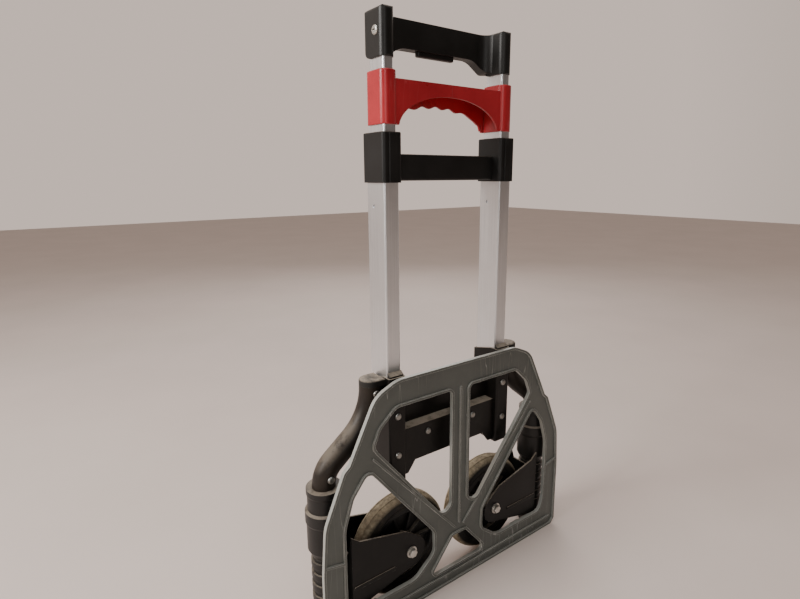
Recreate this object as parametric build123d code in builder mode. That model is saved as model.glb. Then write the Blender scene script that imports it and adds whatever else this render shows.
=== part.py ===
"""Folding platform cart, folded flat: two-stage handle, swing-out wheels and a folding toe plate.

Millimetres, +Z up, X across the cart, -Y towards the toe plate, +Y towards the user.
The origin is at floor level, under the middle of the folded cart. Each paired piece is drawn
on the right (+X) and mirrored to the left.
"""

import os
from math import atan2, degrees, sqrt

from build123d import *

os.makedirs("parts", exist_ok=True)

# ---------------------------------------------------------------- driving dimensions
# Overall
upright_spacing = 190.0  # between the centres of the two uprights
leg_spacing = 384.0  # between the centres of the two lower legs
floor_z = 0.0

# Uprights: three nested rectangular tubes a side
tube_front = -12.0  # front face of the outer tubes
outer_width, outer_depth = 21.0, 39.0
tube_wall = 1.4
slide_gap = 0.35  # between one tube and the next, side to side
step_depth = 2.25  # how much smaller each next tube is, front and back
tube_corner = 2.4
outer_bottom, outer_top = 196.0, 624.0
middle_bottom, middle_top = 362.0, 686.0
inner_bottom, inner_top = 418.0, 752.0
lock_hole_r = 2.3
lock_hole_y = 12.0
outer_lock_z = 543.0  # where the middle stage locks when it is out
middle_travel = 167.0
inner_lock_z = 600.0  # where the inner stage locks when it is out
inner_travel = 168.0

# Collars at the top of the outer tubes, and the bar that joins them
collar_bottom, collar_top = 571.0, 629.0
collar_wall = 3.0
collar_back_extra = 1.0
panel_width, panel_proud = 10.0, 1.2
crossbar_bottom, crossbar_top = 573.0, 605.0
crossbar_front = 0.5
shell_wall = 2.6

# Carry handle on the middle tubes
carry_bottom, carry_top = 637.5, 698.0
carry_wall = 2.5
carry_bar_top = 689.0
carry_arch_top = 674.0  # front wall's lower edge in the middle
carry_rear_drop = 9.0  # the rear wall hangs lower, for the fingers
carry_arch_half = 81.0
wave_pitch, wave_depth = 22.0, 3.0

# Top grip on the inner tubes
grip_bottom, grip_top = 711.5, 765.0
grip_wall = 2.4
grip_back = 32.0
grip_bar_front, grip_bar_back = 20.0, 34.0
grip_bar_bottom, grip_bar_top = 730.0, 763.0
flare_r = 15.0
socket_round = 8.0
screw_z, screw_y = 740.0, 4.0
screw_head_r, screw_shank_r = 5.4, 2.0
button_half, button_depth, button_proud = 30.0, 7.4, 6.0
button_gap = 0.4

# Toe plate
plate_gap = 2.5  # between the lugs' round and the sheet
plate_rim_height = 2.5
plate_sheet = 2.8
plate_rim_width = 3.2
plate_half_width = 214.5
hinge_z = 16.0
hinge_pin_r, hinge_pin_clear = 5.0, 1.5
lug_r, lug_width = 8.2, 14.0
lug_inset = (28.0, 54.0)  # from the leg's centre to each lug

# Lower frame
bent_tube_r, bent_tube_wall = 14.5, 1.6
leg_y = 2.0
bracket_front = -20.0
bracket_wall = 2.0
bracket_bottom, bracket_top = 185.0, 330.0
bracket_gap = 0.2
channel_front, channel_back = -13.0, 6.0
channel_bottom, channel_top = 203.0, 252.0
channel_wall = 2.4
back_web_top = 290.0
tube_top = 322.0
bend_high_z, bend_low_z = 280.0, 224.0
bend_high_r, bend_low_r = 80.0, 35.0

# Wheel brackets
housing_bottom, housing_top = 113.0, 206.0
housing_wall, housing_ring, housing_step = 6.7, 1.0, 3.3
barrel_bottom = 30.4
barrel_wall, barrel_rib = 3.1, 2.0
barrel_fit = 0.06
thrust_gap = 0.3
foot_wall = 2.5
leg_bottom = 14.0
arm_wall = 2.5
arm_spread = 53.5  # between the inner faces of the two arms
arm_end_r = 23.0
web_gap = 0.4  # between the barrel's ribs and the bracket's web
axle_x, axle_z = 80.0, 78.0
axle_r, axle_fit = 6.0, 0.05
washer_r, washer_thick = 8.0, 1.6
bolt_head_r, bolt_head_height = 6.2, 4.6

# Wheels
wheel_r, tyre_width, rim_r = 73.5, 28.0, 52.0
hub_r, hub_width = 17.0, 44.0
bush_r = 9.0

# ---------------------------------------------------------------- values that follow
upright_x = upright_spacing / 2
leg_x = leg_spacing / 2
tube_mid_y = tube_front + outer_depth / 2
tube_back = tube_front + outer_depth
middle_width = outer_width - 2 * (tube_wall + slide_gap)
middle_depth = outer_depth - 2 * step_depth
inner_width = middle_width - 2 * (tube_wall + slide_gap)
inner_depth = middle_depth - 2 * step_depth
middle_pin_z = outer_lock_z - middle_travel
inner_pin_z = inner_lock_z - inner_travel
carry_front = tube_front + step_depth - carry_wall
carry_back = tube_front + step_depth + middle_depth + carry_wall
arm_front = leg_y - arm_spread / 2
arm_back = leg_y + arm_spread / 2
housing_r = bent_tube_r + housing_wall
housing_ring_r, housing_step_r = housing_r + housing_ring, housing_r + housing_step
barrel_r = bent_tube_r + barrel_wall
barrel_rib_r = barrel_r + barrel_rib
foot_r = bent_tube_r + foot_wall
web_offset = barrel_rib_r + web_gap
web_x = leg_x - web_offset
hinge_y = leg_y - bent_tube_r - hinge_pin_clear - hinge_pin_r
plate_back = hinge_y - lug_r - plate_gap
plate_face = plate_back - plate_sheet  # front of the sheet, behind the raised rims
bracket_outer = upright_x + outer_width / 2 + bracket_gap + bracket_wall
bracket_inner = upright_x - outer_width / 2 - bracket_gap - bracket_wall
bracket_back = tube_back + 2 * bracket_wall
tube_top_x = bracket_outer + bent_tube_r


def save(part, name):
    """Labels one finished piece and writes it."""
    part.label = name
    export_step(part, f"parts/{name}.step")


def save_pair(part, name):
    """Writes a piece drawn on the right, and its mirror image on the left."""
    save(mirror(part, about=Plane.YZ), f"{name}_left")
    save(part, f"{name}_right")


def save_both(part, name):
    """Writes a small piece of the right side and its mirror image as one group."""
    with BuildPart() as group:
        add(part)
        mirror(about=Plane.YZ)
    save(group.part, name)


def facing(y):
    """The plane parallel to the toe plate at this y, with its normal towards -Y."""
    return Plane.XZ.offset(-y)


def coil(radius, wire_r, pitch, height, centre):
    """A helical spring on a vertical axis, standing on its centre."""
    with BuildPart() as piece:
        with BuildLine():
            path = Helix(pitch=pitch, height=height, radius=radius, center=centre)
        with BuildSketch(Plane(path @ 0, z_dir=path % 0)):
            Circle(wire_r)
        sweep(is_frenet=True)
    return piece.part


# ---------------------------------------------------------------- telescoping tubes
def upright_tube(width, depth, low, high, hole_levels):
    """One rectangular tube of an upright, cross-drilled for its lock pin."""
    with BuildPart() as tube:
        with BuildSketch(Plane.XY.offset(low)):
            with Locations((upright_x, tube_mid_y)):
                RectangleRounded(width, depth, tube_corner)
                RectangleRounded(width - 2 * tube_wall, depth - 2 * tube_wall, tube_corner - tube_wall,
                                 mode=Mode.SUBTRACT)
        extrude(amount=high - low)
        with BuildSketch(Plane.YZ.offset(upright_x - width)):
            with Locations([(lock_hole_y, level) for level in hole_levels]):
                Circle(lock_hole_r)
        extrude(amount=2 * width, mode=Mode.SUBTRACT)
    return tube.part


save_pair(upright_tube(outer_width, outer_depth, outer_bottom, outer_top, [outer_lock_z]), "outer_tube")
save_pair(upright_tube(middle_width, middle_depth, middle_bottom, middle_top,
                       [middle_pin_z, inner_lock_z]), "middle_tube")

finger_width, finger_low, finger_high = 8.0, 738.0, 749.0
with BuildPart() as inner_tube:
    add(upright_tube(inner_width, inner_depth, inner_bottom, inner_top, [inner_pin_z]))
    # a notch in the back wall lets the release link reach the rod inside
    with BuildSketch(Plane.XY.offset(finger_low)):
        with Locations((upright_x, tube_mid_y + inner_depth / 2)):
            Rectangle(finger_width, 4 * tube_wall)
    extrude(amount=inner_top - finger_low + 1, mode=Mode.SUBTRACT)
save_pair(inner_tube.part, "inner_tube")

# Each inner stage ends in a plug that carries a spring-loaded lock pin. In the folded cart
# the pin is pressed flush by the tube outside it.
plug_height, plug_gap = 28.0, 0.1
pin_r, pin_bore_r = 2.1, 2.2
rod_r, rod_gap = 2.0, 0.3


def lock_plug(width, depth, low, pin_z, bore):
    """A plug inside a tube's lower end, bored across for its pin and along for the rod."""
    with BuildPart() as plug:
        with BuildSketch(Plane.XY.offset(low)):
            with Locations((upright_x, tube_mid_y)):
                RectangleRounded(width - 2 * (tube_wall + plug_gap), depth - 2 * (tube_wall + plug_gap), 0.9)
        extrude(amount=plug_height)
        with BuildSketch(Plane.YZ.offset(upright_x - 1)):
            with Locations((lock_hole_y, pin_z)):
                Circle(pin_bore_r)
        extrude(amount=width, mode=Mode.SUBTRACT)
        if bore:
            with BuildSketch(Plane.XY.offset(low)):
                with Locations((upright_x, tube_mid_y - 6)):
                    Circle(rod_r + rod_gap)
            extrude(amount=plug_height, mode=Mode.SUBTRACT)
    return plug.part


def lock_pin(width, pin_z):
    """The pin, flush with the outside of the tube that carries it."""
    with BuildPart() as pin:
        with BuildSketch(Plane.YZ.offset(upright_x + 1)):
            with Locations((lock_hole_y, pin_z)):
                Circle(pin_r)
        extrude(amount=width / 2 - 1)
        chamfer(pin.faces().sort_by(Axis.X)[-1].edges(), 0.5)
    return pin.part


save_both(lock_plug(middle_width, middle_depth, middle_bottom, middle_pin_z, False), "middle_plugs")
save_both(lock_plug(inner_width, inner_depth, inner_bottom, inner_pin_z, True), "inner_plugs")
save_both(lock_pin(middle_width, middle_pin_z), "middle_lock_pins")
save_both(lock_pin(inner_width, inner_pin_z), "inner_lock_pins")

# ---------------------------------------------------------------- collars and crossbar
collar_width = outer_width + 2 * collar_wall
collar_back = tube_back + collar_wall + collar_back_extra
with BuildPart() as collar:
    with BuildSketch(Plane.XY.offset(collar_bottom)):
        with Locations((upright_x, (tube_front - collar_wall + collar_back) / 2)):
            RectangleRounded(collar_width, collar_back - tube_front + collar_wall, 4.5)
    extrude(amount=collar_top - collar_bottom)
    chamfer(collar.faces().sort_by(Axis.Z)[-1].edges(), 0.8)
    # a raised panel down the front
    with BuildSketch(Plane.XY.offset(collar_bottom)):
        with Locations((upright_x, tube_front - collar_wall)):
            Rectangle(panel_width, 2 * panel_proud)
    extrude(amount=collar_top - collar_bottom - 1)
    with BuildSketch(Plane.XY.offset(collar_bottom)):
        with Locations((upright_x, tube_mid_y)):
            RectangleRounded(outer_width + 2 * plug_gap, outer_depth + 2 * plug_gap, tube_corner)
    extrude(amount=outer_top - collar_bottom, mode=Mode.SUBTRACT)
    with BuildSketch(Plane.XY.offset(collar_bottom)):
        with Locations((upright_x, tube_mid_y)):
            RectangleRounded(middle_width + 2 * slide_gap, middle_depth + 2 * slide_gap, tube_corner)
    extrude(amount=collar_top - collar_bottom, mode=Mode.SUBTRACT)
save_pair(collar.part, "collar")

crossbar_half = upright_x - collar_width / 2
with BuildPart() as crossbar:
    with BuildSketch(facing(collar_back - 1)):
        with Locations((0, (crossbar_bottom + crossbar_top) / 2)):
            Rectangle(2 * crossbar_half, crossbar_top - crossbar_bottom)
    extrude(amount=collar_back - 1 - crossbar_front)
    fillet(crossbar.edges().filter_by(Axis.X).group_by(Axis.Y)[0], 2.5)
    # hollow from behind, with stiffening ribs
    with BuildSketch(facing(collar_back - 1)):
        with Locations((0, (crossbar_bottom + crossbar_top) / 2)):
            with GridLocations(crossbar_half / 2, 1, 4, 1):
                Rectangle(crossbar_half / 2 - shell_wall, crossbar_top - crossbar_bottom - 2 * shell_wall)
    extrude(amount=collar_back - 1 - crossbar_front - shell_wall, mode=Mode.SUBTRACT)
save(crossbar.part, "collar_crossbar")

# ---------------------------------------------------------------- carry handle
def cut_arch(top, waves=0):
    """Takes the gap for the fingers out of a wall of the carry handle, under an elliptical arch."""
    foot = carry_bottom - 3
    rise = top - foot

    def on_arch(x, out=0.0):
        return x, foot + rise * sqrt(1 - (x / carry_arch_half) ** 2) + out

    with BuildLine() as arch:
        if waves:
            # the edge swings either side of the arch, once for each finger
            ends = [on_arch(share * carry_arch_half) for share in (0.76, 0.84, 0.90, 0.95, 0.98)]
            middle = [on_arch(half_wave * wave_pitch / 2, wave_depth / 2 * (-1) ** half_wave)
                      for half_wave in range(-waves, waves + 1)]
            Spline((-carry_arch_half, foot), *[(-x, z) for x, z in reversed(ends)], *middle, *ends,
                   (carry_arch_half, foot), tangents=[(0, 1), (0, -1)])
        else:
            EllipticalCenterArc((0, foot), carry_arch_half, rise, start_angle=0, arc_size=180)
        Line((-carry_arch_half, foot), (carry_arch_half, foot))
    make_face(arch.edges(), mode=Mode.SUBTRACT)


with BuildPart() as carry_handle:
    # front wall, rear wall and the web over the fingers
    with BuildSketch(facing(carry_front + 4 + shell_wall)):
        with Locations((0, (carry_bottom + carry_bar_top) / 2)):
            Rectangle(upright_spacing, carry_bar_top - carry_bottom)
        cut_arch(carry_arch_top)
    extrude(amount=shell_wall)
    with BuildSketch(facing(carry_back - 1)):
        with Locations((0, (carry_bottom + carry_bar_top) / 2)):
            Rectangle(upright_spacing, carry_bar_top - carry_bottom)
        cut_arch(carry_arch_top - carry_rear_drop, 4)
    extrude(amount=shell_wall)
    with BuildSketch(Plane.XY.offset(carry_bar_top - shell_wall)):
        with Locations((0, (carry_front + 4 + carry_back - 1) / 2)):
            Rectangle(upright_spacing, carry_back - carry_front - 5)
    extrude(amount=shell_wall)
    # sleeves round the middle tubes, fuller at the front
    with BuildSketch(Plane.XY.offset(carry_bottom)):
        with Locations([(side * upright_x, (carry_front + carry_back) / 2) for side in (-1, 1)]):
            RectangleRounded(middle_width + 2 * carry_wall, carry_back - carry_front, 9.0)
    extrude(amount=carry_top - carry_bottom)
    fillet(carry_handle.faces().sort_by(Axis.Z)[-2:].edges(), 1.6)
    fillet(carry_handle.faces().filter_by(Plane.XY).sort_by(Axis.Z)[0:2].edges(), 1.0)
    # pockets for the middle tubes, with a way through above for the inner ones
    for side in (-1, 1):
        with BuildSketch(Plane.XY.offset(carry_bottom - 1)):
            with Locations((side * upright_x, tube_mid_y)):
                RectangleRounded(middle_width + 2 * plug_gap, middle_depth + 2 * plug_gap, tube_corner)
        extrude(amount=middle_top - carry_bottom + 1, mode=Mode.SUBTRACT)
        with BuildSketch(Plane.XY.offset(middle_top - 1)):
            with Locations((side * upright_x, tube_mid_y)):
                RectangleRounded(inner_width + 2 * slide_gap, inner_depth + 2 * slide_gap, tube_corner)
        extrude(amount=carry_top - middle_top + 2, mode=Mode.SUBTRACT)
save(carry_handle.part, "carry_handle")

# ---------------------------------------------------------------- top grip
grip_half = inner_width / 2 + grip_wall
grip_front = tube_mid_y - inner_depth / 2 - grip_wall
link_y, link_depth, link_low, link_high = 27.0, 4.0, 739.0, 743.0
rod_y = tube_mid_y - 6


def grip_socket(side):
    """The socket on one tube, from its side profile and its rounded plan."""
    with BuildPart() as socket:
        with BuildSketch(Plane.YZ.offset(side * upright_x - grip_half)):
            with BuildLine():
                FilletPolyline(
                    (grip_front, grip_bottom), (grip_back - 6, grip_bottom), (grip_back, grip_bottom + 26),
                    (grip_back - 1, grip_top - 5), (grip_back - 9, grip_top), (grip_front, grip_top),
                    (grip_front, grip_bottom), radius=(2, 12, 6, 8, 7, 5), close=True)
            make_face()
        extrude(amount=2 * grip_half)
        with BuildSketch(Plane.XY.offset(grip_bottom)):
            with Locations((side * upright_x, (grip_front + grip_back) / 2)):
                RectangleRounded(2 * grip_half, grip_back - grip_front, socket_round)
        extrude(amount=grip_top - grip_bottom, mode=Mode.INTERSECT)
        with BuildSketch(facing(grip_back + 1)):
            with BuildLine():
                left, right = side * upright_x - grip_half, side * upright_x + grip_half
                FilletPolyline((left, grip_bottom), (left, grip_top), (right, grip_top), (right, grip_bottom),
                               radius=(0.6, 4.5, 4.5, 0.6), close=True)
            make_face()
        extrude(amount=grip_back - grip_front + 2, mode=Mode.INTERSECT)
    return socket.part


def bar_outline():
    """The grip's bar seen from the front: level on top, arched down to the sockets below."""
    with BuildSketch() as shape:
        with BuildLine() as edge:
            FilletPolyline(
                (-upright_x, grip_bottom + 4), (-upright_x + 12, grip_bottom + 3),
                (-upright_x + 36, grip_bar_bottom), (upright_x - 36, grip_bar_bottom),
                (upright_x - 12, grip_bottom + 3), (upright_x, grip_bottom + 4),
                radius=(9, 30, 30, 9))
            Polyline((upright_x, grip_bottom + 4), (upright_x, grip_bar_top), (-upright_x, grip_bar_top),
                     (-upright_x, grip_bottom + 4))
        make_face(edge.edges())
    return shape.sketch


def bar_flare(side):
    """The concave corner between the bar's front and one socket, cut to the bar's outline."""
    corner_x = side * (upright_x - grip_half + 1)
    with BuildPart() as flare:
        with BuildSketch(Plane.XY.offset(grip_bottom)):
            with BuildLine() as edge:
                Polyline((corner_x, grip_bar_front - flare_r), (corner_x, grip_bar_front + 1),
                         (corner_x - side * (flare_r + 1), grip_bar_front + 1),
                         (corner_x - side * (flare_r + 1), grip_bar_front))
                RadiusArc((corner_x - side * (flare_r + 1), grip_bar_front),
                          (corner_x, grip_bar_front - flare_r), side * 1.1 * flare_r)
            make_face(edge.edges())
        extrude(amount=grip_bar_top - grip_bottom)
        with BuildSketch(facing(grip_bar_back)):
            add(bar_outline())
        extrude(amount=grip_bar_back - grip_front, mode=Mode.INTERSECT)
    return flare.part


with BuildPart() as top_grip:
    # a socket on each tube: narrower at the foot, round in plan
    for side in (-1, 1):
        add(grip_socket(side))
    # the bar, arched into the sockets, with concave flares between its front and the sockets
    with BuildSketch(facing(grip_bar_back)):
        add(bar_outline())
    extrude(amount=grip_bar_back - grip_bar_front)
    add(bar_flare(1))
    add(bar_flare(-1))
    # pockets for the tubes
    with BuildSketch(Plane.XY.offset(grip_bottom - 1)):
        with Locations((-upright_x, tube_mid_y), (upright_x, tube_mid_y)):
            RectangleRounded(inner_width + 2 * plug_gap, inner_depth + 2 * plug_gap, tube_corner)
    extrude(amount=inner_top - grip_bottom + 1, mode=Mode.SUBTRACT)
    # slot for the button, tunnel for the release link and pocket for its spring
    with BuildSketch(Plane.XY.offset(grip_bar_bottom - 1)):
        with Locations((0, link_y)):
            Rectangle(2 * (button_half + button_gap), button_depth + 2 * button_gap)
    extrude(amount=finger_high - grip_bar_bottom + 1, mode=Mode.SUBTRACT)
    with BuildSketch(Plane.XY.offset(finger_low)):
        with Locations((0, link_y)):
            Rectangle(upright_spacing + finger_width, link_depth + 2)
        with Locations((-upright_x, (link_y + tube_mid_y) / 2), (upright_x, (link_y + tube_mid_y) / 2)):
            Rectangle(finger_width, link_y - tube_mid_y + link_depth + 2)
    extrude(amount=finger_high - finger_low, mode=Mode.SUBTRACT)
    with BuildSketch(Plane.XY.offset(finger_low)):
        with Locations((0, link_y)):
            Circle(3.6)
    extrude(amount=grip_bar_top - 6 - finger_low, mode=Mode.SUBTRACT)
    # screw holes through the outer sides
    with BuildSketch(Plane.YZ.offset(-upright_x - outer_width)):
        with Locations((screw_y, screw_z)):
            Circle(screw_shank_r + 0.05)
    extrude(amount=outer_width, mode=Mode.SUBTRACT)
    with BuildSketch(Plane.YZ.offset(upright_x)):
        with Locations((screw_y, screw_z)):
            Circle(screw_shank_r + 0.05)
    extrude(amount=outer_width, mode=Mode.SUBTRACT)
save(top_grip.part, "top_grip")

with BuildPart() as grip_screw:
    # round head with a cross recess, seated on the socket's side
    with BuildSketch(Plane.YZ.offset(upright_x + grip_half)):
        with Locations((screw_y, screw_z)):
            Circle(screw_head_r)
    extrude(amount=2.2)
    fillet(grip_screw.faces().sort_by(Axis.X)[-1].edges(), 1.7)
    with BuildSketch(Plane.YZ.offset(upright_x + grip_half + 2.2)):
        with Locations((screw_y, screw_z)):
            Rectangle(5.4, 1.1)
            Rectangle(1.1, 5.4)
    extrude(amount=-1.4, mode=Mode.SUBTRACT)
    with BuildSketch(Plane.YZ.offset(upright_x + grip_half)):
        with Locations((screw_y, screw_z)):
            Circle(screw_shank_r)
    extrude(amount=-(grip_wall - 0.2))
save_both(grip_screw.part, "grip_screws")

with BuildPart() as release_button:
    with BuildSketch(Plane.XY.offset(grip_bar_bottom - button_proud)):
        with Locations((0, link_y)):
            RectangleRounded(2 * button_half, button_depth, 3.0)
    extrude(amount=link_low - grip_bar_bottom + button_proud)
    fillet(release_button.faces().sort_by(Axis.Z)[0].edges(), 1.8)
save(release_button.part, "release_button")

with BuildPart() as release_link:
    with BuildSketch(Plane.XY.offset(link_low)):
        with Locations((0, link_y)):
            Rectangle(upright_spacing + 5, link_depth)
        with Locations((-upright_x, (link_y + rod_y) / 2), (upright_x, (link_y + rod_y) / 2)):
            Rectangle(5.0, link_y - rod_y + link_depth)
    extrude(amount=link_high - link_low)
save(release_link.part, "release_link")

with BuildPart() as release_rod:
    with BuildSketch(Plane.XY.offset(inner_bottom + 6)):
        with Locations((upright_x, rod_y)):
            Circle(rod_r)
    extrude(amount=link_low - inner_bottom - 6)
save_both(release_rod.part, "release_rods")

spring_top = grip_bar_top - 6
save(coil(2.6, 0.4, 2.2, spring_top - link_high - 1.0, (0, link_y, link_high + 0.5)), "release_spring")

# ---------------------------------------------------------------- lower frame
with BuildPart() as bent_tube:
    with BuildLine() as tube_path:
        FilletPolyline((tube_top_x, leg_y, tube_top), (tube_top_x, leg_y, bend_high_z),
                       (leg_x, leg_y, bend_low_z), (leg_x, leg_y, leg_bottom),
                       radius=(bend_high_r, bend_low_r))
    with BuildSketch(Plane.XY.offset(tube_top)):
        with Locations((tube_top_x, leg_y)):
            Circle(bent_tube_r)
            Circle(bent_tube_r - bent_tube_wall, mode=Mode.SUBTRACT)
    sweep(path=tube_path.line)
save_pair(bent_tube.part, "bent_tube")

block_gap = 0.1
cap_height = 8.0

with BuildPart() as tube_cap:
    # a saddle over the bent tube's top, level with the bracket beside it
    with BuildSketch(Plane.XY.offset(tube_top)):
        with Locations((tube_top_x, leg_y)):
            Circle(bent_tube_r)
        with Locations(((bracket_outer + block_gap + tube_top_x) / 2, leg_y)):
            Rectangle(tube_top_x - bracket_outer - block_gap, 2 * bent_tube_r)
    extrude(amount=cap_height)
    fillet(tube_cap.faces().sort_by(Axis.Z)[-1].edges(), 2.5)
    with BuildSketch(Plane.XY.offset(tube_top)):
        with Locations((tube_top_x, leg_y)):
            Circle(bent_tube_r - bent_tube_wall - plug_gap)
    extrude(amount=-9)
save_both(tube_cap.part, "tube_caps")

with BuildPart() as foot_bracket:
    # pressed steel sleeve round the upright's foot
    bracket_mid = ((bracket_inner + bracket_outer) / 2, (bracket_front + bracket_back) / 2)
    with BuildSketch(Plane.XY.offset(bracket_bottom)):
        with Locations(bracket_mid):
            RectangleRounded(bracket_outer - bracket_inner, bracket_back - bracket_front, 3.0)
            Rectangle(bracket_outer - bracket_inner - 2 * bracket_wall,
                      bracket_back - bracket_front - 2 * bracket_wall, mode=Mode.SUBTRACT)
    extrude(amount=bracket_top - bracket_bottom)
    # the rim falls away towards the back
    with BuildSketch(Plane.YZ.offset(bracket_inner - 1)):
        with BuildLine():
            Polyline((bracket_front - 1, bracket_top + 1), (bracket_back + 1, bracket_top + 1),
                     (bracket_back + 1, bracket_top - 9), (bracket_front + 14, bracket_top), close=True)
        make_face()
    extrude(amount=bracket_outer - bracket_inner + 2, mode=Mode.SUBTRACT)
save_pair(foot_bracket.part, "foot_bracket")

with BuildPart() as foot_block:
    # moulded block that fills the bracket before, behind and below the upright
    with BuildSketch(Plane.YZ.offset(bracket_inner + bracket_wall + block_gap)):
        front = bracket_front + bracket_wall + block_gap
        back = bracket_back - bracket_wall - block_gap
        with BuildLine():
            Polyline((front, outer_bottom - 6), (back, outer_bottom - 6), (back, bracket_top - 12),
                     (tube_back + block_gap, bracket_top - 10), (tube_back + block_gap, outer_bottom),
                     (tube_front - block_gap, outer_bottom), (tube_front - block_gap, bracket_top + 6),
                     (front, bracket_top + 2), close=True)
        make_face()
    extrude(amount=outer_width)
save_pair(foot_block.part, "foot_block")

with BuildPart() as cross_channel:
    # front web with flared lower corners
    with BuildSketch(facing(channel_front + channel_wall)):
        with BuildLine():
            Polyline((-bracket_inner, channel_top), (bracket_inner, channel_top),
                     (bracket_inner, bracket_bottom + 2), (bracket_inner - 8, bracket_bottom + 2),
                     (bracket_inner - 20, channel_bottom), (20 - bracket_inner, channel_bottom),
                     (8 - bracket_inner, bracket_bottom + 2), (-bracket_inner, bracket_bottom + 2),
                     close=True)
        make_face()
    extrude(amount=channel_wall)
    # top and bottom flanges
    for level in (channel_bottom, channel_top - channel_wall):
        with BuildSketch(Plane.XY.offset(level)):
            with Locations((0, (channel_front + channel_back) / 2)):
                Rectangle(2 * bracket_inner, channel_back - channel_front)
        extrude(amount=channel_wall)
    # taller back web, with its upper corners cut off
    with BuildSketch(facing(channel_back)):
        with BuildLine():
            Polyline((-bracket_inner, channel_bottom), (bracket_inner, channel_bottom),
                     (bracket_inner, back_web_top - 10), (bracket_inner - 10, back_web_top),
                     (10 - bracket_inner, back_web_top), (-bracket_inner, back_web_top - 10), close=True)
        make_face()
    extrude(amount=channel_wall)
save(cross_channel.part, "cross_channel")

rivet_r, rivet_height = 4.6, 2.6


def rivet_group(places, seat):
    """Round-headed rivets standing on one plane."""
    with BuildPart() as rivets:
        with BuildSketch(facing(seat)):
            with Locations(places):
                Circle(rivet_r)
        extrude(amount=rivet_height)
        fillet(rivets.faces().filter_by(Plane.XZ).group_by(Axis.Y)[0].edges(), 2.3)
    return rivets.part


bracket_rivet_levels = (223.0, 277.5)
save(rivet_group([(side * upright_x, level) for side in (-1, 1) for level in bracket_rivet_levels],
                 bracket_front), "bracket_rivets")
save(rivet_group([(-41.0, 238.5), (41.0, 238.5)], channel_front), "channel_rivets")


def tube_rivet(x, z):
    """A rivet whose head is bedded on the round of the bent tube."""
    with BuildPart() as rivet:
        with BuildSketch(facing(leg_y - bent_tube_r + 1.2)):
            with Locations((x, z)):
                Circle(rivet_r)
        extrude(amount=rivet_height + 1.2)
        fillet(rivet.faces().sort_by(Axis.Y)[0].edges(), 2.3)
    return rivet.part


with BuildPart() as tube_rivets:
    add(tube_rivet(tube_top_x, tube_top - 9))
    add(tube_rivet(leg_x - 3, bend_low_z - 5))
    add(bent_tube.part, mode=Mode.SUBTRACT)
save_both(tube_rivets.part, "tube_rivets")

# ---------------------------------------------------------------- swing-out gear on the legs
leg_bore = bent_tube_r + block_gap
spring_wire_r = 0.9
swing_coil_r = bent_tube_r + 2.2
cavity_r, cavity_top = swing_coil_r + spring_wire_r + 1.2, 150.0
with BuildPart() as cam_housing:
    # moulded sleeve fixed on the leg, hollow below for the return spring
    with BuildSketch(Plane.XZ.offset(-leg_y)):
        with BuildLine():
            Polyline((leg_x + leg_bore, housing_top), (leg_x + housing_ring_r, housing_top),
                     (leg_x + housing_ring_r, housing_top - 7), (leg_x + housing_r, housing_top - 9),
                     (leg_x + housing_r, housing_top - 28), (leg_x + housing_step_r, housing_top - 30),
                     (leg_x + housing_step_r, housing_top - 44),
                     (leg_x + housing_step_r - 1.4, housing_top - 47),
                     (leg_x + housing_step_r - 1.4, housing_bottom + 11), (leg_x + barrel_r, housing_bottom),
                     (leg_x + leg_bore, housing_bottom), (leg_x + leg_bore, housing_bottom + 3),
                     (leg_x + cavity_r, housing_bottom + 5), (leg_x + cavity_r, cavity_top),
                     (leg_x + leg_bore, cavity_top + 2), close=True)
        make_face()
    revolve(axis=Axis((leg_x, leg_y, 0), (0, 0, 1)))
save_pair(cam_housing.part, "cam_housing")

swing_spring_seat = housing_bottom + 4.5 + spring_wire_r  # just above the housing's sloping floor
save_pair(coil(swing_coil_r, spring_wire_r, 4.2, 29.4, (leg_x, leg_y, swing_spring_seat)), "swing_spring")

with BuildPart() as barrel:
    # ribbed hinge barrel that turns on the leg, with a boss for the bracket's web
    barrel_top = housing_bottom - thrust_gap
    with BuildSketch(Plane.XY.offset(barrel_bottom)):
        with Locations((leg_x, leg_y)):
            Circle(barrel_r)
    extrude(amount=barrel_top - barrel_bottom)
    for level in (36.0, 52.0, 68.0, 84.0, 100.0):
        with BuildSketch(Plane.XY.offset(level)):
            with Locations((leg_x, leg_y)):
                Circle(barrel_rib_r)
        extrude(amount=8)
    with BuildSketch(Plane.XY.offset(barrel_bottom + 6)):
        with Locations((leg_x - web_offset / 2, leg_y)):
            Rectangle(web_offset, 22)
    extrude(amount=barrel_top - barrel_bottom - 12)
    with BuildSketch(Plane.XY.offset(barrel_bottom)):
        with Locations((leg_x, leg_y)):
            Circle(bent_tube_r + barrel_fit)
    extrude(amount=barrel_top - barrel_bottom, mode=Mode.SUBTRACT)
save_pair(barrel.part, "hinge_barrel")

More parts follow.
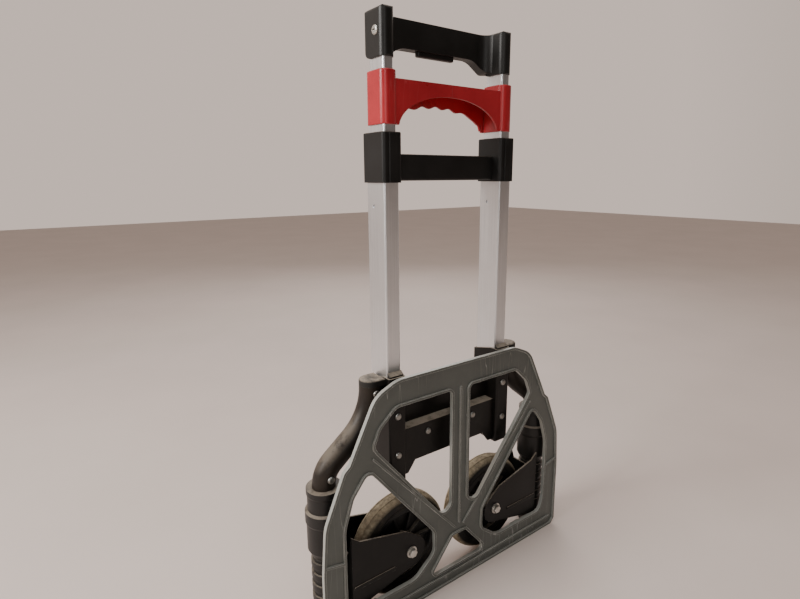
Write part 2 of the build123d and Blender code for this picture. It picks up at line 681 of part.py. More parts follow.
with BuildPart() as wheel_bracket:
    # two tapered arms joined by a web that is bolted to the barrel
    arm_low = barrel_bottom + 2
    for level in (arm_front, arm_back + arm_wall):
        with BuildSketch(facing(level)):
            with BuildLine():
                Polyline((web_x, arm_low), (web_x, 140.0), (web_x - 12, 130.0), (axle_x + 8, 112.0),
                         (axle_x - 10, 99.0), (axle_x - 10, axle_z - arm_end_r + 2), (axle_x + 4, 54.0),
                         close=True)
            make_face()
            with Locations((axle_x, axle_z)):
                Circle(arm_end_r)
        extrude(amount=arm_wall)
    with BuildSketch(Plane.YZ.offset(web_x - arm_wall)):
        with BuildLine():
            Polyline((arm_front - arm_wall, arm_low), (arm_back + arm_wall, arm_low),
                     (arm_back + arm_wall, 138.0), (arm_back - 8, barrel_top - 2),
                     (arm_front + 8, barrel_top - 2),
                     (arm_front - arm_wall, 138.0), close=True)
        make_face()
    extrude(amount=arm_wall)
    with BuildSketch(facing(arm_front - arm_wall - 1)):
        with Locations((axle_x, axle_z)):
            Circle(axle_r + axle_fit)
    extrude(amount=-(arm_spread + 2 * arm_wall + 2), mode=Mode.SUBTRACT)
    # a pressed stiffening ridge along the front arm
    with BuildSketch(facing(arm_front - arm_wall)):
        with Locations(((axle_x + web_x) / 2 + 12, 66.0)):
            SlotOverall(64.0, 5.0)
    extrude(amount=1.2)
save_pair(wheel_bracket.part, "wheel_bracket")

ear_reach = 13.0
lug_gap, pin_head = 0.3, 2.5
with BuildPart() as leg_foot:
    # foot on the leg's end: a heel to stand on behind, an ear for the hinge rod in front
    with BuildSketch(Plane.XY.offset(9.0)):
        with Locations((leg_x, leg_y)):
            Circle(foot_r)
    extrude(amount=barrel_bottom - thrust_gap - 9.0)
    with BuildSketch(Plane.XY.offset(floor_z)):
        with Locations((leg_x, leg_y)):
            Circle(foot_r)
        with Locations((leg_x, leg_y - foot_r)):
            Rectangle(4 * foot_r, 2 * foot_r - 2, mode=Mode.SUBTRACT)
    extrude(amount=9.0)
    with BuildSketch(Plane.YZ.offset(leg_x - ear_reach / 2)):
        with Locations((hinge_y, hinge_z)):
            Circle(lug_r)
        with Locations(((hinge_y + leg_y - 8) / 2, hinge_z)):
            Rectangle(leg_y - 8 - hinge_y, 2 * lug_r)
    extrude(amount=1.5 * ear_reach)
    with BuildSketch(Plane.YZ.offset(leg_x - ear_reach)):
        with Locations((hinge_y, hinge_z)):
            Circle(hinge_pin_r + 0.05)
    extrude(amount=3 * ear_reach, mode=Mode.SUBTRACT)
    with BuildSketch(Plane.XY.offset(leg_bottom)):
        with Locations((leg_x, leg_y)):
            Circle(leg_bore)
    extrude(amount=barrel_bottom, mode=Mode.SUBTRACT)
save_pair(leg_foot.part, "leg_foot")

pin_outer = leg_x + ear_reach + 3.5
pin_inner = leg_x - max(lug_inset) - lug_width / 2 - lug_gap
with BuildPart() as hinge_pin:
    # one pin a side, headed at its inner end, with a groove for its clip at the outer one
    with BuildSketch(Plane.YZ.offset(pin_inner)):
        with Locations((hinge_y, hinge_z)):
            Circle(hinge_pin_r)
    extrude(amount=pin_outer - pin_inner)
    chamfer(hinge_pin.faces().sort_by(Axis.X)[-1].edges(), 0.8)
    with BuildSketch(Plane.YZ.offset(pin_inner)):
        with Locations((hinge_y, hinge_z)):
            Circle(hinge_pin_r + 2.2)
    extrude(amount=-pin_head)
    fillet(hinge_pin.faces().sort_by(Axis.X)[0].edges(), 1.0)
    with BuildSketch(Plane.YZ.offset(pin_outer - 3.2)):
        with Locations((hinge_y, hinge_z)):
            Circle(hinge_pin_r + 1)
            Circle(hinge_pin_r - 0.8, mode=Mode.SUBTRACT)
    extrude(amount=1.2, mode=Mode.SUBTRACT)
save_pair(hinge_pin.part, "hinge_pin")

with BuildPart() as pin_clip:
    with BuildSketch(Plane.YZ.offset(pin_outer - 3.15)):
        with Locations((hinge_y, hinge_z)):
            Circle(hinge_pin_r + 2.0)
            Circle(hinge_pin_r - 0.75, mode=Mode.SUBTRACT)
        with Locations((hinge_y - 5, hinge_z)):
            Rectangle(10, 6.0, mode=Mode.SUBTRACT)
    extrude(amount=1.1)
save_both(pin_clip.part, "pin_clips")

# ---------------------------------------------------------------- wheels
with BuildPart() as tyre:
    # solid rubber with a gently crowned tread
    half = tyre_width / 2
    with BuildSketch(Plane.XY.offset(axle_z)):
        with BuildLine():
            Line((axle_x + rim_r, leg_y - half + 3), (axle_x + wheel_r - 9, leg_y - half))
            ThreePointArc((axle_x + wheel_r - 9, leg_y - half), (axle_x + wheel_r - 2.4, leg_y - half + 3.6),
                          (axle_x + wheel_r - 0.4, leg_y - half + 8))
            ThreePointArc((axle_x + wheel_r - 0.4, leg_y - half + 8), (axle_x + wheel_r, leg_y),
                          (axle_x + wheel_r - 0.4, leg_y + half - 8))
            ThreePointArc((axle_x + wheel_r - 0.4, leg_y + half - 8),
                          (axle_x + wheel_r - 2.4, leg_y + half - 3.6),
                          (axle_x + wheel_r - 9, leg_y + half))
            Line((axle_x + wheel_r - 9, leg_y + half), (axle_x + rim_r, leg_y + half - 3))
            Line((axle_x + rim_r, leg_y + half - 3), (axle_x + rim_r, leg_y - half + 3))
        make_face()
    revolve(axis=Axis((axle_x, 0, axle_z), (0, 1, 0)))
save_pair(tyre.part, "tyre")

with BuildPart() as wheel_hub:
    # moulded wheel: rim, web and a long hub
    with BuildSketch(facing(leg_y + tyre_width / 2 - 3)):
        with Locations((axle_x, axle_z)):
            Circle(rim_r)
            Circle(rim_r - 4.5, mode=Mode.SUBTRACT)
    extrude(amount=tyre_width - 6)
    with BuildSketch(facing(leg_y + 3.5)):
        with Locations((axle_x, axle_z)):
            Circle(rim_r - 2)
    extrude(amount=7)
    # spokes that stiffen the web on both sides
    with BuildSketch(facing(leg_y + tyre_width / 2 - 5)):
        with Locations((axle_x, axle_z)):
            with PolarLocations((hub_r + rim_r - 4.5) / 2, 10):
                Rectangle(rim_r - hub_r, 3.0)
    extrude(amount=tyre_width - 10)
    with BuildSketch(facing(leg_y + hub_width / 2)):
        with Locations((axle_x, axle_z)):
            Circle(hub_r)
    extrude(amount=hub_width)
    with BuildSketch(facing(leg_y + hub_width / 2)):
        with Locations((axle_x, axle_z)):
            Circle(bush_r + 0.05)
    extrude(amount=hub_width, mode=Mode.SUBTRACT)
save_pair(wheel_hub.part, "wheel_hub")


def axle_ring(radius, bore, front, back):
    """A round piece on the wheel's axle."""
    with BuildPart() as piece:
        with BuildSketch(facing(back)):
            with Locations((axle_x, axle_z)):
                Circle(radius)
                Circle(bore, mode=Mode.SUBTRACT)
        extrude(amount=back - front)
    return piece.part


bush_front, bush_back = leg_y - hub_width / 2 - 1, leg_y + hub_width / 2 + 1
save_pair(axle_ring(bush_r, axle_r + axle_fit, bush_front, bush_back), "wheel_bush")
spacer_gap = 0.3
with BuildPart() as axle_spacers:
    add(axle_ring(washer_r + 2, axle_r + 0.1, arm_front, bush_front - spacer_gap))
    add(axle_ring(washer_r + 2, axle_r + 0.1, bush_back + spacer_gap, arm_back))
save_pair(axle_spacers.part, "axle_spacers")

bolt_seat = arm_front - arm_wall - washer_thick
nut_seat = arm_back + arm_wall
with BuildPart() as axle_bolt:
    # washer-faced hex head in front, shank through both arms
    with BuildSketch(facing(bolt_seat)):
        with Locations((axle_x, axle_z)):
            RegularPolygon(bolt_head_r, 6)
    extrude(amount=bolt_head_height)
    fillet(axle_bolt.faces().sort_by(Axis.Y)[0].edges(), 1.0)
    with BuildSketch(facing(bolt_seat)):
        with Locations((axle_x, axle_z)):
            Circle(axle_r)
    extrude(amount=-(nut_seat - bolt_seat + 3.75))
save_pair(axle_bolt.part, "axle_bolt")
save_pair(axle_ring(washer_r, axle_r + 0.1, bolt_seat, bolt_seat + washer_thick), "axle_washer")
with BuildPart() as axle_nut:
    with BuildSketch(facing(nut_seat)):
        with Locations((axle_x, axle_z)):
            RegularPolygon(9.0, 6)
            Circle(axle_r + 0.02, mode=Mode.SUBTRACT)
    extrude(amount=-3.2)
save_pair(axle_nut.part, "axle_nut")

# ---------------------------------------------------------------- toe plate
upper_window = [(16, 298), (107, 298), (131, 276), (140, 255), (134, 246), (29, 115), (16, 128)]
upper_radii = (7, 16, 16, 8, 8, 11, 9)
lower_window = [(149, 226), (171, 198), (183, 160), (183, 62), (176, 38), (78, 38), (45, 64), (46, 96)]
lower_radii = (8, 20, 40, 24, 12, 26, 17, 16)
outline = [(104, 334), (137, 320), (175, 243), (183, 236), (210, 172), (plate_half_width, 110),
           (plate_half_width, 8), (206, 0)]
outline_radii = (40, 38, 6, 6, 50, 60, 4, 4)
lower_opening = [(12, 76), (47, 34), (43, 27)]


def closed_face(points, radii, grow):
    """A face inside a closed line with rounded corners, grown by this much."""
    with BuildSketch() as shape:
        with BuildLine() as edge:
            FilletPolyline(*points, radius=radii, close=True)
        make_face(edge.edges())
        if grow:
            offset(amount=grow)
    return shape.sketch


def mirrored(points, radii):
    """The right half of a symmetrical outline, closed round the left half."""
    left = [(-x, z) for x, z in reversed(points)]
    return [*points, *left], [*radii, *reversed(radii)]


def plate_shape(inset):
    """The plate's face with its five openings, every edge drawn in by this much."""
    with BuildSketch() as shape:
        add(closed_face(*mirrored(outline, outline_radii), -inset))
        for side in (-1, 1):
            for points, radii in ((upper_window, upper_radii), (lower_window, lower_radii)):
                add(closed_face([(side * x, z) for x, z in points], radii, inset), mode=Mode.SUBTRACT)
        add(closed_face(*mirrored(lower_opening, (5, 4, 4)), inset), mode=Mode.SUBTRACT)
    return shape.sketch


hub_z = 92.0  # where the struts meet
strut_rib, strut_reach = 2.4, (142.0, 240.0)
with BuildPart() as toe_plate:
    with BuildSketch(facing(plate_back)):
        add(plate_shape(0))
    extrude(amount=plate_sheet)
    # raised rims along every edge, a rib down the spoke, a rib along each strut and a step in each side
    with BuildSketch(facing(plate_face)):
        add(plate_shape(0))
        add(plate_shape(plate_rim_width), mode=Mode.SUBTRACT)
        with Locations((0, (hub_z + 300) / 2)):
            Rectangle(strut_rib, 300 - hub_z)
        for side in (-1, 1):
            root, tip = Vector(side * 8, hub_z - 4), Vector(side * strut_reach[0], strut_reach[1])
            along = tip - root
            with Locations((root + tip) / 2):
                Rectangle(along.length, strut_rib, rotation=degrees(atan2(along.Y, along.X)))
            with Locations((side * 199, 118)):
                Rectangle(30, strut_rib, rotation=side * 12)
        with Locations((0, 17)):
            Rectangle(2 * plate_half_width - 24, strut_rib)
    extrude(amount=plate_rim_height)
    # hinge lugs on the pins
    for inset in lug_inset:
        for side in (-1, 1):
            with BuildSketch(Plane.YZ.offset(side * (leg_x - inset) - lug_width / 2)):
                with Locations((hinge_y, hinge_z)):
                    Circle(lug_r)
                with Locations(((hinge_y + plate_back) / 2 - 0.5, hinge_z)):
                    Rectangle(hinge_y - plate_back + 1, 2 * lug_r)
                with Locations((hinge_y, hinge_z)):
                    Circle(hinge_pin_r + 0.06, mode=Mode.SUBTRACT)
            extrude(amount=lug_width)
save(toe_plate.part, "toe_plate")
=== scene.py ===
"""Looks of the folding platform cart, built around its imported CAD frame. Metres, +Z up."""

import math

import bmesh
import bpy
from mathutils import Matrix, Vector


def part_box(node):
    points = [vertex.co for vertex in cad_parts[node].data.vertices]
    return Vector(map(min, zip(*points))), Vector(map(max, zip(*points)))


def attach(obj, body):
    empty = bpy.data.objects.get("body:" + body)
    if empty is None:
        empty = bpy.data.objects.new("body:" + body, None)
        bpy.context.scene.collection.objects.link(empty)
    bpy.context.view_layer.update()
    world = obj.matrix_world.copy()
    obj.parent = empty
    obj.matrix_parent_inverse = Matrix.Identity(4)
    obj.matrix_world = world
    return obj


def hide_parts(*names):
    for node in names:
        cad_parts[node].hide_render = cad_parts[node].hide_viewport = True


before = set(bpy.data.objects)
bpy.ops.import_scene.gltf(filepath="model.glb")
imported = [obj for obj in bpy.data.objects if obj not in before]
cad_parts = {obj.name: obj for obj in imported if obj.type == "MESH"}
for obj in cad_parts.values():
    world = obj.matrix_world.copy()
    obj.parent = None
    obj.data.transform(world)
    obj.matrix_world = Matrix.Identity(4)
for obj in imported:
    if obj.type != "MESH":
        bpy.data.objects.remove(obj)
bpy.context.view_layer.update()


def box_of(node):
    """The lowest and highest corners of a CAD node."""
    low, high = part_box(node)
    return Vector(low), Vector(high)


tyre_low, tyre_high = box_of("tyre_right")
axle = (tyre_low + tyre_high) / 2
tyre_radius = (tyre_high.x - tyre_low.x) / 2
tyre_half = (tyre_high.y - tyre_low.y) / 2
hub_low, hub_high = box_of("wheel_hub_right")
rim_radius = (hub_high.x - hub_low.x) / 2


# ---------------------------------------------------------------- node helpers
def set_span(node, low, high, to_low, to_high):
    """The two ranges of a map range node."""
    for key, number in (("From Min", low), ("From Max", high), ("To Min", to_low), ("To Max", to_high)):
        node.inputs[key].default_value = number


class Look:
    """A procedural material, with short names for the nodes it is made of."""

    def __init__(self, name, **sockets):
        self.material = bpy.data.materials.new(name)
        self.material.use_nodes = True
        self.tree = self.material.node_tree
        self.shader = self.tree.nodes["Principled BSDF"]
        for socket, value in sockets.items():
            self.set(socket.replace("_", " "), value)
        self.place = self.add("ShaderNodeTexCoord").outputs["Object"]

    def add(self, kind, **settings):
        node = self.tree.nodes.new(kind)
        for key, value in settings.items():
            setattr(node, key, value)
        return node

    def feed(self, socket, value):
        if isinstance(value, bpy.types.NodeSocket):
            self.tree.links.new(value, socket)
        elif isinstance(value, tuple) and len(value) == 3 and socket.type == "RGBA":
            socket.default_value = (*value, 1)
        else:
            socket.default_value = value

    def set(self, name, value):
        self.feed(self.shader.inputs[name], value)

    def part(self, axis, vector=None):
        """One coordinate of a vector, or of the place itself."""
        node = self.add("ShaderNodeSeparateXYZ")
        self.feed(node.inputs[0], vector or self.place)
        return node.outputs[axis]

    def stretched(self, x, y, z):
        node = self.add("ShaderNodeVectorMath", operation="MULTIPLY")
        self.feed(node.inputs[0], self.place)
        node.inputs[1].default_value = (x, y, z)
        return node.outputs[0]

    def noise(self, scale, detail=4.0, rough=0.55, at=None):
        node = self.add("ShaderNodeTexNoise")
        self.feed(node.inputs["Vector"], at or self.place)
        node.inputs["Scale"].default_value = scale
        node.inputs["Detail"].default_value = detail
        node.inputs["Roughness"].default_value = rough
        return node.outputs["Fac"]

    def maths(self, operation, a, b=0.0, clamp=False):
        node = self.add("ShaderNodeMath", operation=operation, use_clamp=clamp)
        self.feed(node.inputs[0], a)
        self.feed(node.inputs[1], b)
        return node.outputs[0]

    def span(self, value, low, high, to_low=0.0, to_high=1.0):
        node = self.add("ShaderNodeMapRange")
        self.feed(node.inputs["Value"], value)
        set_span(node, low, high, to_low, to_high)
        return node.outputs[0]

    def mix(self, share, a, b):
        node = self.add("ShaderNodeMix", data_type="RGBA")
        self.feed(node.inputs["Factor"], share)
        self.feed(node.inputs[6], a)
        self.feed(node.inputs[7], b)
        return node.outputs[2]

    def bump(self, height, distance, strength=1.0, normal=None):
        node = self.add("ShaderNodeBump")
        node.inputs["Strength"].default_value = strength
        node.inputs["Distance"].default_value = distance
        self.feed(node.inputs["Height"], height)
        if normal:
            self.feed(node.inputs["Normal"], normal)
        return node.outputs["Normal"]

    def soft_edges(self, radius):
        node = self.add("ShaderNodeBevel", samples=6)
        node.inputs["Radius"].default_value = radius
        return node.outputs[0]

    def edges(self, radius, low=0.02, high=0.30):
        """1 within radius of a sharp edge, 0 on open faces."""
        dot = self.add("ShaderNodeVectorMath", operation="DOT_PRODUCT")
        self.feed(dot.inputs[0], self.soft_edges(radius))
        self.feed(dot.inputs[1], self.add("ShaderNodeNewGeometry").outputs["Normal"])
        return self.span(self.maths("SUBTRACT", 1.0, dot.outputs["Value"]), low, high)

    def facing_up(self):
        return self.part("Z", self.add("ShaderNodeNewGeometry").outputs["Normal"])

    def across(self):
        """1 on faces square to the front, 0 on the walls between front and back."""
        normal = self.add("ShaderNodeNewGeometry").outputs["True Normal"]
        return self.maths("ABSOLUTE", self.part("Y", normal))

    def dust(self, amount, bare=0.0):
        """Share of dust: thick on faces that look up, thin on walls, broken up by noise."""
        up = self.facing_up()
        blotches = self.span(self.noise(52, 8, 0.72), 0.30 + bare, 0.50 + bare, 0.15, 1.0)
        film = self.span(self.noise(24, 8, 0.75), 0.50, 0.74, 0.0, 0.035)
        thick = self.maths("MULTIPLY", self.span(up, 0.35, 0.85), blotches)
        thin = self.maths("MULTIPLY", self.span(up, -0.6, 0.2, 0.4, 1.0), film)
        return self.maths("MULTIPLY", self.maths("MAXIMUM", thick, thin), amount, clamp=True)

    def wheel_radius(self):
        """Distance from the nearer wheel's axle, across the wheel."""
        either_side = self.maths("ABSOLUTE", self.part("X"))
        flat = self.add("ShaderNodeCombineXYZ")
        self.feed(flat.inputs["X"], self.maths("SUBTRACT", either_side, axle.x))
        self.feed(flat.inputs["Z"], self.maths("SUBTRACT", self.part("Z"), axle.z))
        length = self.add("ShaderNodeVectorMath", operation="LENGTH")
        self.feed(length.inputs[0], flat.outputs[0])
        return length.outputs["Value"]

    def scratches(self, scale, angle, width=0.006):
        """1 on a few thin straight lines across the surface."""
        turn = self.add("ShaderNodeMapping")
        self.feed(turn.inputs["Vector"], self.place)
        turn.inputs["Rotation"].default_value = (0.0, math.radians(angle), 0.0)
        turn.inputs["Scale"].default_value = (1.0, 1.0, 0.06)
        lines = self.noise(scale, 2, 0.5, at=turn.outputs[0])
        off_line = self.maths("ABSOLUTE", self.maths("SUBTRACT", lines, 0.5))
        thin = self.span(off_line, 0.0, width, 1.0, 0.0)
        patchy = self.span(self.noise(9, 3), 0.49, 0.58)
        return self.maths("MULTIPLY", thin, patchy)


DUST = (0.33, 0.28, 0.22)


def aluminium():
    look = Look("anodised_aluminium", Metallic=1.0)
    brush = look.noise(1.0, 5, 0.6, at=look.stretched(900, 900, 9))
    cloud = look.noise(14, 6, 0.6)
    marks = look.scratches(60, 12)
    colour = look.mix(look.span(brush, 0.3, 0.7), (0.73, 0.745, 0.765), (0.84, 0.855, 0.875))
    colour = look.mix(look.span(cloud, 0.45, 0.75, 0, 0.35), colour, (0.62, 0.625, 0.63))
    look.set("Base Color", look.mix(look.maths("MULTIPLY", marks, 0.5), colour, (0.86, 0.87, 0.88)))
    streaks = look.maths("ADD", brush, look.maths("MULTIPLY", cloud, 0.5))
    look.set("Roughness", look.span(streaks, 0.45, 1.05, 0.30, 0.46))
    fine = look.bump(brush, 0.00004, 0.6, look.soft_edges(0.0006))
    look.set("Normal", look.bump(marks, 0.0001, 0.5, fine))
    return look.material


def moulded_black(name, base, rough, grain, dust_share, bare=0.0):
    """Black moulded plastic with a fine spark-eroded grain and a little dust."""
    look = Look(name, Specular_IOR_Level=0.34)
    fine = look.noise(2600, 3, 0.6)
    cloud = look.noise(22, 6, 0.6)
    dust = look.dust(dust_share, bare)
    rub = look.span(look.noise(60, 4), 0.42, 0.62, 0.05, 0.55)
    worn = look.maths("MULTIPLY", look.edges(0.0011), rub)
    colour = look.mix(look.span(cloud, 0.3, 0.7), base, tuple(1.6 * c + 0.002 for c in base))
    colour = look.mix(worn, colour, (0.075, 0.074, 0.072))
    look.set("Base Color", look.mix(dust, colour, DUST))
    look.set("Roughness", look.span(look.maths("ADD", cloud, dust), 0.3, 1.0, rough, rough + 0.18))
    look.set("Normal", look.bump(fine, 0.00003, grain, look.soft_edges(0.0009)))
    return look.material


def red_plastic():
    """Red moulded plastic with scuffs and a mould line down its middle."""
    look = Look("red_plastic", Specular_IOR_Level=0.5, Coat_Weight=0.12, Coat_Roughness=0.25)
    cloud = look.noise(18, 5, 0.6)
    fine = look.noise(1900, 3, 0.6)
    dust = look.dust(0.35)
    scuff = look.maths("MULTIPLY", look.scratches(80, 35), 0.35)
    colour = look.mix(look.span(cloud, 0.3, 0.7), (0.36, 0.012, 0.019), (0.47, 0.020, 0.028))
    colour = look.mix(scuff, colour, (0.62, 0.17, 0.18))
    look.set("Base Color", look.mix(dust, colour, (0.42, 0.20, 0.17)))
    look.set("Roughness", look.span(look.maths("ADD", cloud, dust), 0.3, 1.1, 0.26, 0.46))
    off_middle = look.maths("ABSOLUTE", look.part("X"))
    mould_line = look.span(off_middle, 0.00015, 0.00055, 1.0, 0.0)
    grain = look.bump(fine, 0.00002, 0.6, look.soft_edges(0.0012))
    look.set("Normal", look.bump(mould_line, 0.00025, 0.8, grain))
    return look.material


def powder_coat(name, base, dust_share, brown=0.0):
    """Black powder coat with its orange peel, chips on the edges and settled dust."""
    look = Look(name, Specular_IOR_Level=0.24)
    peel = look.noise(700, 2, 0.5)
    cloud = look.noise(16, 6, 0.65)
    dust = look.dust(dust_share)
    chips = look.maths("MULTIPLY", look.edges(0.0012), look.span(look.noise(180, 5, 0.7), 0.56, 0.62))
    lighter = tuple(c * gain + tint * brown
                    for c, gain, tint in zip(base, (1.6, 1.5, 1.4), (0.02, 0.013, 0.006)))
    colour = look.mix(look.span(cloud, 0.35, 0.7), base, lighter)
    colour = look.mix(chips, colour, (0.30, 0.29, 0.27))
    look.set("Base Color", look.mix(dust, colour, DUST))
    look.set("Roughness", look.span(look.maths("ADD", cloud, dust), 0.3, 1.1, 0.36, 0.62))
    look.set("Normal", look.bump(peel, 0.00008, 0.5, look.soft_edges(0.0010)))
    return look.material


def cast_plate():
    """Grey-green coated casting, rubbed bright along its rims, with scratches; the side walls of its
    rims get a painted highlight.
    """
    look = Look("cast_plate", Metallic=0.35, Specular_IOR_Level=0.5)
    grain = look.noise(420, 5, 0.65)
    cloud = look.noise(11, 7, 0.65)
    rub = look.span(look.noise(30, 6, 0.7), 0.36, 0.60, 0.15, 1.0)
    worn = look.maths("MULTIPLY", look.edges(0.0013, 0.010, 0.16), rub)
    marks = look.maths("MAXIMUM", look.scratches(42, 62, 0.004), look.scratches(55, -35, 0.003))
    dust = look.dust(0.25)
    # painted highlight: the walls between front and back are painted lighter, as if lit from the side,
    # broken up a little by noise
    highlight_patchiness = look.span(cloud, 0.25, 0.55, 0.70, 1.0)
    painted_wall_highlight = look.maths("MULTIPLY", look.span(look.across(), 0.75, 0.25), highlight_patchiness)
    colour = look.mix(look.span(cloud, 0.32, 0.70), (0.084, 0.096, 0.089), (0.128, 0.142, 0.133))
    colour = look.mix(look.span(grain, 0.55, 0.75, 0, 0.35), colour, (0.145, 0.148, 0.130))
    colour = look.mix(look.maths("MULTIPLY", marks, 0.6), colour, (0.50, 0.51, 0.49))
    colour = look.mix(painted_wall_highlight, colour, (0.38, 0.40, 0.375))
    colour = look.mix(worn, colour, (0.55, 0.56, 0.53))
    look.set("Base Color", look.mix(dust, colour, DUST))
    look.set("Roughness", look.span(look.maths("ADD", cloud, dust), 0.3, 1.1, 0.38, 0.60))
    fine = look.bump(grain, 0.00012, 0.6, look.soft_edges(0.0008))
    look.set("Normal", look.bump(marks, 0.0001, 0.4, fine))
    return look.material


def bright_steel(name, colour_low, colour_high, rough):
    """Zinc plated steel with water marks."""
    look = Look(name, Metallic=1.0)
    cloud = look.noise(160, 6, 0.7)
    dirt = look.span(look.noise(90, 5, 0.7), 0.52, 0.66, 0, 0.6)
    colour = look.mix(look.span(cloud, 0.35, 0.65), colour_low, colour_high)
    look.set("Base Color", look.mix(dirt, colour, (0.16, 0.13, 0.10)))
    look.set("Roughness", look.span(cloud, 0.3, 0.7, rough, rough + 0.2))
    look.set("Normal", look.bump(cloud, 0.00005, 0.5, look.soft_edges(0.0004)))
    return look.material


def rubber():
    """Black rubber whose tread is grey-brown with dirt worked into it."""
    look = Look("tyre_rubber", Specular_IOR_Level=0.3)
    cloud = look.noise(60, 8, 0.75)
    blotch = look.noise(170, 6, 0.7)
    fine = look.noise(1300, 4, 0.7)
    shoulder, tread_edge = tyre_radius - 0.0075, tyre_radius - 0.0030
    tread = look.span(look.wheel_radius(), shoulder, tread_edge)
    side_dust = look.span(look.noise(34, 7, 0.7), 0.46, 0.72, 0.0, 0.16)
    share = look.maths("MULTIPLY", tread, look.span(cloud, 0.30, 0.60, 0.62, 1.0))
    share = look.maths("MAXIMUM", share, side_dust)
    dirt = look.mix(look.span(blotch, 0.40, 0.64), (0.27, 0.222, 0.152), (0.52, 0.44, 0.305))
    look.set("Base Color", look.mix(share, (0.012, 0.0115, 0.011), dirt))
    look.set("Roughness", look.span(share, 0.0, 1.0, 0.58, 0.92))
    rough_dirt = look.bump(blotch, 0.00035, 0.5)
    look.set("Normal", look.bump(fine, 0.00012, 0.8, rough_dirt))
    return look.material


looks = {
    "aluminium": aluminium(),
    "grip": moulded_black("grip_black", (0.0075, 0.0075, 0.0070), 0.36, 0.7, 0.15),
    "collar": moulded_black("collar_black", (0.0060, 0.0060, 0.0060), 0.36, 0.7, 0.20),
    "block": moulded_black("block_black", (0.010, 0.009, 0.008), 0.50, 0.8, 0.80, 0.07),
    "housing": moulded_black("housing_black", (0.0075, 0.0070, 0.0066), 0.38, 0.8, 0.60, 0.05),
    "red": red_plastic(),
    "tube": powder_coat("bent_tube_black", (0.012, 0.010, 0.009), 0.50, brown=0.6),
    "frame": powder_coat("frame_black", (0.0034, 0.0032, 0.0030), 0.90, brown=0.05),
    "bracket": powder_coat("bracket_black", (0.0028, 0.0028, 0.0028), 0.60),
    "plate": cast_plate(),
    "zinc": bright_steel("zinc", (0.50, 0.49, 0.46), (0.68, 0.67, 0.63), 0.28),
    "rivet": bright_steel("dark_rivet", (0.22, 0.22, 0.21), (0.36, 0.36, 0.34), 0.30),
    "spring": bright_steel("spring_steel", (0.30, 0.30, 0.31), (0.45, 0.45, 0.46), 0.30),
    "tyre": rubber(),
    "hub": moulded_black("hub_black", (0.0075, 0.0075, 0.0075), 0.42, 0.8, 0.40),
    "nylon": moulded_black("grey_nylon", (0.16, 0.16, 0.165), 0.45, 0.5, 0.20),
}

# the nodes that wear each look, without their side
worn_by = {
    "aluminium": ["outer_tube", "middle_tube", "inner_tube"],
    "grip": ["top_grip", "release_button"],
    "collar": ["collar", "collar_crossbar"],
    "block": ["foot_block", "tube_caps"],
    "housing": ["cam_housing", "hinge_barrel", "leg_foot"],
    "red": ["carry_handle"],
    "tube": ["bent_tube"],
    "frame": ["foot_bracket", "cross_channel"],
    "bracket": ["wheel_bracket"],
    "plate": ["toe_plate"],
    "zinc": ["grip_screws", "axle_bolt", "axle_washer", "axle_nut", "axle_spacers", "hinge_pin",
             "pin_clips", "release_rods", "middle_lock_pins", "inner_lock_pins"],
    "rivet": ["bracket_rivets", "channel_rivets", "tube_rivets"],
    "spring": ["release_spring", "swing_spring"],
    "tyre": ["tyre"],
    "hub": ["wheel_hub"],
    "nylon": ["middle_plugs", "inner_plugs", "release_link", "wheel_bush"],
}
look_of = {stem: looks[key] for key, stems in worn_by.items() for stem in stems}


def stem_of(node):
    """A node's name without its side."""
    return node.removesuffix("_left").removesuffix("_right")


for node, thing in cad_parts.items():
    for slot in thing.material_slots:
        slot.material = look_of[stem_of(node)]


# ---------------------------------------------------------------- tyres
TYRE_STEPS = 160
SHARP_FROM = math.radians(50)


def tyre_profile():
    """(radius, across) from one bead over the grooved tread to the other, in metres."""
    near_side = [(rim_radius, tyre_half - 0.0030), (rim_radius + 0.0016, tyre_half - 0.0021),
                 (rim_radius + 0.0040, tyre_half - 0.0018), (rim_radius + 0.0046, tyre_half - 0.0025),
                 (rim_radius + 0.0056, tyre_half - 0.0025), (rim_radius + 0.0062, tyre_half - 0.0011),
                 (tyre_radius - 0.0092, tyre_half - 0.0002), (tyre_radius - 0.0068, tyre_half - 0.0006),
                 (tyre_radius - 0.0046, tyre_half - 0.0018), (tyre_radius - 0.0027, tyre_half - 0.0037),
                 (tyre_radius - 0.0013, tyre_half - 0.0058), (tyre_radius - 0.0006, tyre_half - 0.0076),
                 (tyre_radius - 0.0014, tyre_half - 0.0079), (tyre_radius - 0.0014, tyre_half - 0.0087),
                 (tyre_radius - 0.0004, tyre_half - 0.0090), (tyre_radius - 0.0002, tyre_half - 0.0112)]
    return [(r, -y) for r, y in near_side] + [(tyre_radius - 0.0001, 0.0)] + near_side[::-1]


def tyre(side):
    """One moulded tyre turned about its axle, in place of the CAD one."""
    low, high = box_of(f"tyre_{side}")
    centre = (low + high) / 2
    mesh = bpy.data.meshes.new(f"tyre_moulded_{side}")
    shape = bmesh.new()
    profile = tyre_profile()
    rings = []
    for step in range(TYRE_STEPS):
        turn = 2 * math.pi * step / TYRE_STEPS
        rings.append([
            shape.verts.new((centre.x + r * math.cos(turn), centre.y + y, centre.z + r * math.sin(turn)))
            for r, y in profile
        ])
    for here, after in zip(rings, rings[1:] + rings[:1]):
        for i in range(len(profile)):
            j = (i + 1) % len(profile)
            shape.faces.new((here[i], after[i], after[j], here[j]))
    bmesh.ops.recalc_face_normals(shape, faces=shape.faces)
    shape.to_mesh(mesh)
    shape.free()
    mesh.shade_smooth()
    mesh.set_sharp_from_angle(angle=SHARP_FROM)
    mesh.materials.append(looks["tyre"])
    thing = bpy.data.objects.new(f"tyre_moulded_{side}", mesh)
    bpy.context.scene.collection.objects.link(thing)
    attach(thing, f"wheel_{side}")
    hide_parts(f"tyre_{side}")


for side in ("left", "right"):
    tyre(side)


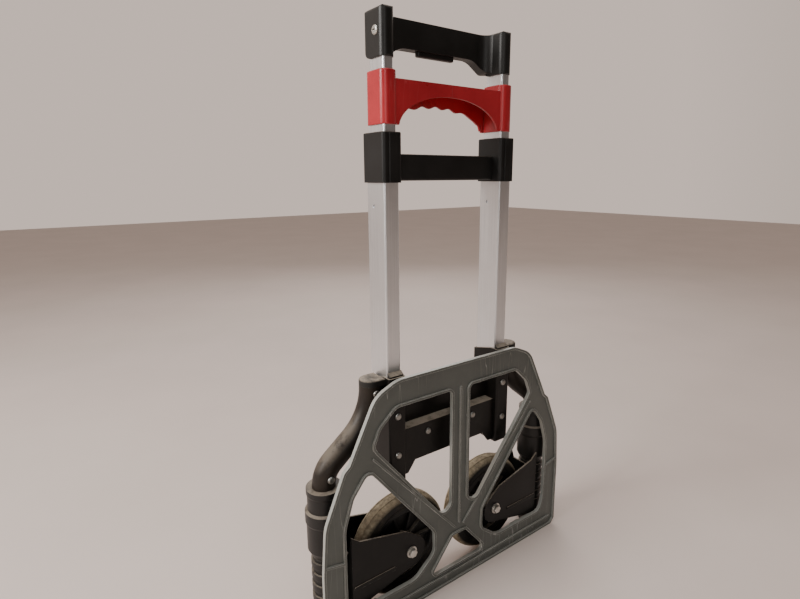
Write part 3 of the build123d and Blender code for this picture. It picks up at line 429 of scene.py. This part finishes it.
# ---------------------------------------------------------------- studio
FLOOR_SIZE = 14
CAMERA_PLACE = (-0.4460, -0.5275, 0.5779)
CAMERA_YAW, CAMERA_PITCH, CAMERA_ROLL = 36.23, -11.69, -0.26
FOCAL_LENGTH, SENSOR_WIDTH = 23.40, 36.0
CAMERA_SHIFT = (-0.0133, -0.0190)
BACKDROP = (0.82, 0.68, 0.60, 1)
BACKDROP_TURNS = (-0.55, 0.45)
BACKDROP_STRENGTH = (0.12, 0.92)


def pale_floor():
    bpy.ops.mesh.primitive_plane_add(size=FLOOR_SIZE, location=(0, 0, 0))
    floor = bpy.context.object
    floor.name = "floor"
    look = Look("pale_floor", Roughness=0.75)
    cloud = look.span(look.noise(3, 5), 0.3, 0.7)
    look.set("Base Color", look.mix(cloud, (0.61, 0.53, 0.485), (0.65, 0.565, 0.52)))
    floor.data.materials.append(look.material)


def lamp(name, place, aim, size, power, colour=(1, 1, 1)):
    data = bpy.data.lights.new(name, "AREA")
    data.shape, data.size, data.energy, data.color = "SQUARE", size, power, colour
    thing = bpy.data.objects.new(name, data)
    bpy.context.scene.collection.objects.link(thing)
    thing.location = place
    thing.rotation_euler = (Vector(aim) - Vector(place)).to_track_quat("-Z", "Y").to_euler()


def camera():
    """The photo's viewing angle, from the front left of the cart and slightly down."""
    data = bpy.data.cameras.new("camera")
    data.sensor_width, data.lens = SENSOR_WIDTH, FOCAL_LENGTH
    data.shift_x, data.shift_y = CAMERA_SHIFT
    data.clip_start = 0.02
    thing = bpy.data.objects.new("camera", data)
    bpy.context.scene.collection.objects.link(thing)
    yaw, pitch, roll = (math.radians(a) for a in (CAMERA_YAW, CAMERA_PITCH, CAMERA_ROLL))
    thing.matrix_world = (Matrix.Translation(CAMERA_PLACE)
                          @ Matrix.Rotation(-yaw, 4, "Z")
                          @ Matrix.Rotation(math.pi / 2 + pitch, 4, "X")
                          @ Matrix.Rotation(roll, 4, "Z"))
    bpy.context.scene.camera = thing


def backdrop():
    """A warm world, bright behind the cart and dim behind the camera."""
    world = bpy.data.worlds.new("studio")
    world.use_nodes = True
    tree = world.node_tree
    away = tree.nodes.new("ShaderNodeSeparateXYZ")
    tree.links.new(tree.nodes.new("ShaderNodeTexCoord").outputs["Generated"], away.inputs[0])
    glow = tree.nodes.new("ShaderNodeMapRange")
    tree.links.new(away.outputs["Y"], glow.inputs["Value"])
    set_span(glow, *BACKDROP_TURNS, *BACKDROP_STRENGTH)
    tree.links.new(glow.outputs[0], tree.nodes["Background"].inputs["Strength"])
    tree.nodes["Background"].inputs["Color"].default_value = BACKDROP
    bpy.context.scene.world = world


def studio():
    pale_floor()
    backdrop()
    middle = (0, 0, 0.45)
    lamp("key", (-2.0, 0.25, 1.45), middle, 0.9, 52, (1.0, 0.97, 0.94))
    lamp("front", (-1.3, -2.2, 1.0), middle, 1.1, 9, (1.0, 0.98, 0.95))
    lamp("back", (1.2, 1.7, 1.5), middle, 1.4, 14)
    lamp("top", (-0.1, -0.2, 2.5), middle, 1.0, 16)


camera()
studio()
